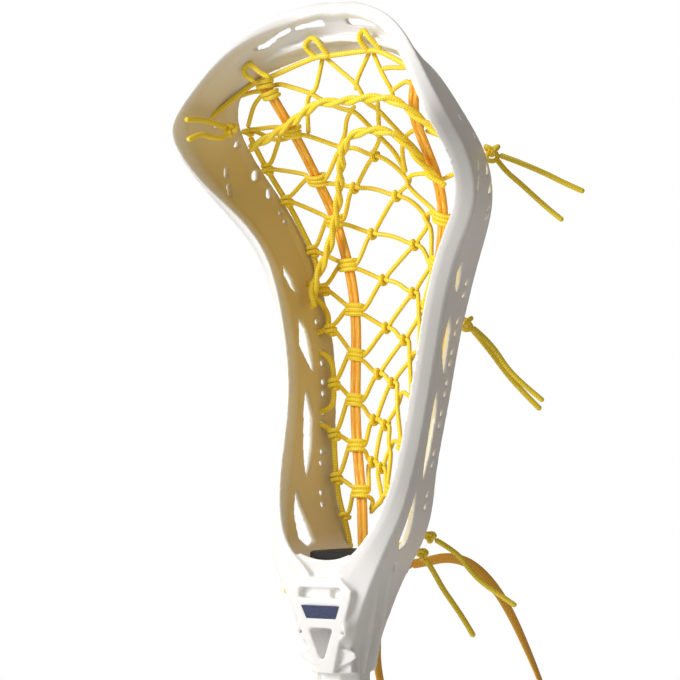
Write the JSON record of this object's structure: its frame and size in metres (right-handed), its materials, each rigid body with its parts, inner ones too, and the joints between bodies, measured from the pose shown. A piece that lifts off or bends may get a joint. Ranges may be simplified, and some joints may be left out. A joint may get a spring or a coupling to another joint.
{
  "type": "lacrosse stick",
  "caption": "Lacrosse stick with a moulded curved head, knotted mesh pocket on two laced rails and a straight octagonal handle.",
  "frame": {"origin": "centre of the butt end of the handle", "axes": "+Z along the handle to the scoop, the ball enters from -Y, +X is the head's right"},
  "size_m": [0.215, 0.1419, 1.0975],
  "materials": {
    "head_nylon": "moulded white nylon, satin",
    "foam": "closed-cell foam, matt",
    "handle_metal": "white satin paint on alloy",
    "cap_rubber": "matt black rubber",
    "screw_steel": "plated",
    "badge_plate": "dark blue-grey foil plate, plain",
    "yellow_cord": "braided nylon cord",
    "orange_lace": "flat woven nylon lace"
  },
  "bodies": {
    "root": {"head_frame": "head_nylon", "ball_stop": "foam", "handle": "handle_metal", "end_cap": "cap_rubber", "head_screw": "screw_steel", "throat_badge": "badge_plate", "pocket_net": "yellow_cord", "right_running_rail": "orange_lace", "left_running_rail": "orange_lace", "right_sidewall_string": "yellow_cord", "left_sidewall_string": "yellow_cord", "top_string": "yellow_cord", "bottom_string": "yellow_cord", "upper_shooting_string": "yellow_cord", "u_shooting_string": "yellow_cord", "upper_right_knot": "yellow_cord", "middle_right_knot": "yellow_cord", "lower_right_knot": "yellow_cord", "bottom_right_knot": "yellow_cord", "upper_left_knot": "yellow_cord", "lower_left_knot": "yellow_cord", "right_lace_knot": "orange_lace", "left_lace_knot": "orange_lace", "upper_right_tail_long": "yellow_cord", "upper_right_tail_short": "yellow_cord", "middle_right_tail_outer": "yellow_cord", "middle_right_tail_inner": "yellow_cord", "lower_right_tail": "yellow_cord", "bottom_right_tail": "yellow_cord", "upper_left_tail_front": "yellow_cord", "upper_left_tail_back": "yellow_cord", "lower_left_tail": "yellow_cord", "right_lace_tail": "orange_lace", "left_lace_tail": "orange_lace"}
  },
  "joints": []
}
